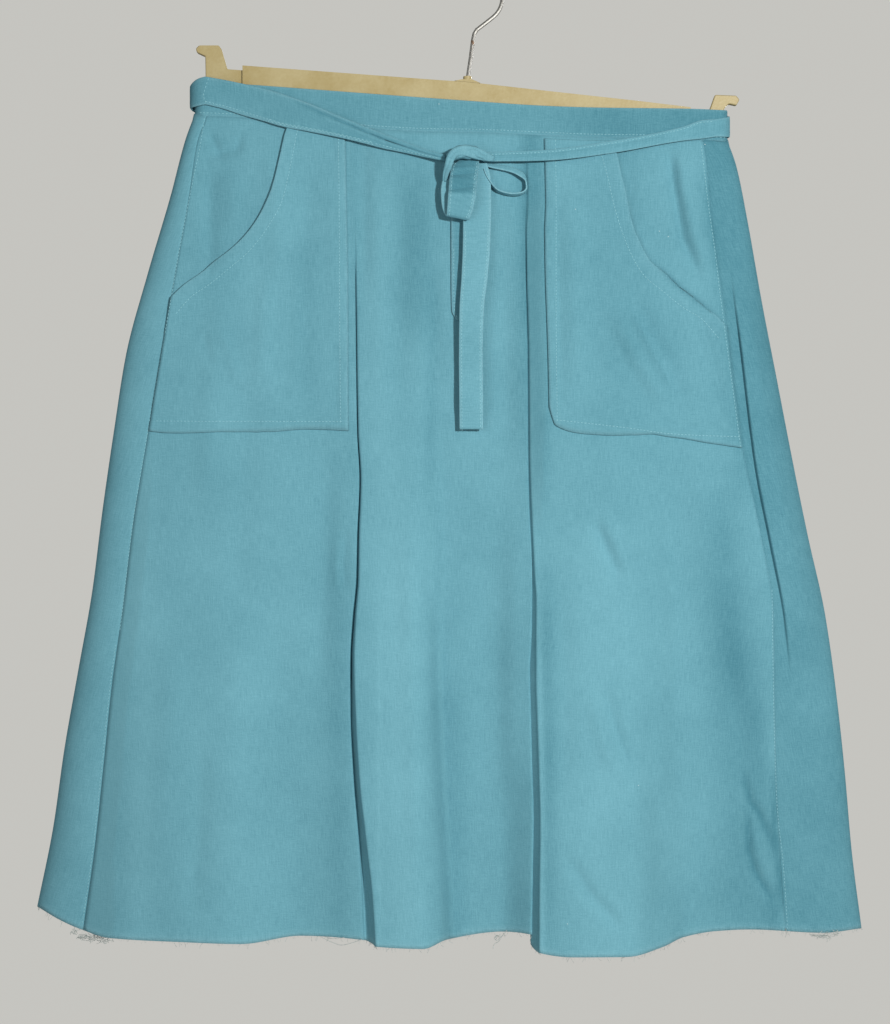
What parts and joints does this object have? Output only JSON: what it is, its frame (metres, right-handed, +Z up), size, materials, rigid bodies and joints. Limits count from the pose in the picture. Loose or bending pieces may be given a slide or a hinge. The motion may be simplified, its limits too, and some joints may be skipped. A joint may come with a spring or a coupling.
{
  "type": "wrap skirt on a hanger",
  "caption": "Turquoise cotton A-line skirt, wrapped at the back and tied with a front bow, with slash-mouth patch pockets, hung by its waistband on a skirt hanger with a wire hook.",
  "frame": {"origin": "the top of the hook's inside, where a rod carries the hanger", "axes": "+Z up, -Y out of the front of the skirt, +X to the viewer's right"},
  "size_m": [0.62, 0.0746, 0.7326],
  "materials": {
    "cotton": "plain-woven matt cotton in light turquoise with paler top stitching",
    "hanger_plastic": "aged ivory moulded plastic, half gloss",
    "hook_wire": "drawn steel wire, dull grey"
  },
  "bodies": {
    "root": {"front_panel": "cotton", "back_panel_over": "cotton", "back_panel_under": "cotton", "pocket_left": "cotton", "pocket_right": "cotton", "waistband": "cotton", "tie_left": "cotton", "tie_right": "cotton", "tie_knot": "cotton", "loop_left": "cotton", "loop_right": "cotton", "tie_end_long": "cotton", "tie_end_short": "cotton", "hanger_sleeve": "hanger_plastic", "hanger_arm_left": "hanger_plastic", "hanger_arm_right": "hanger_plastic", "hanger_boss": "hanger_plastic", "hanger_hook": "hook_wire"}
  },
  "joints": []
}
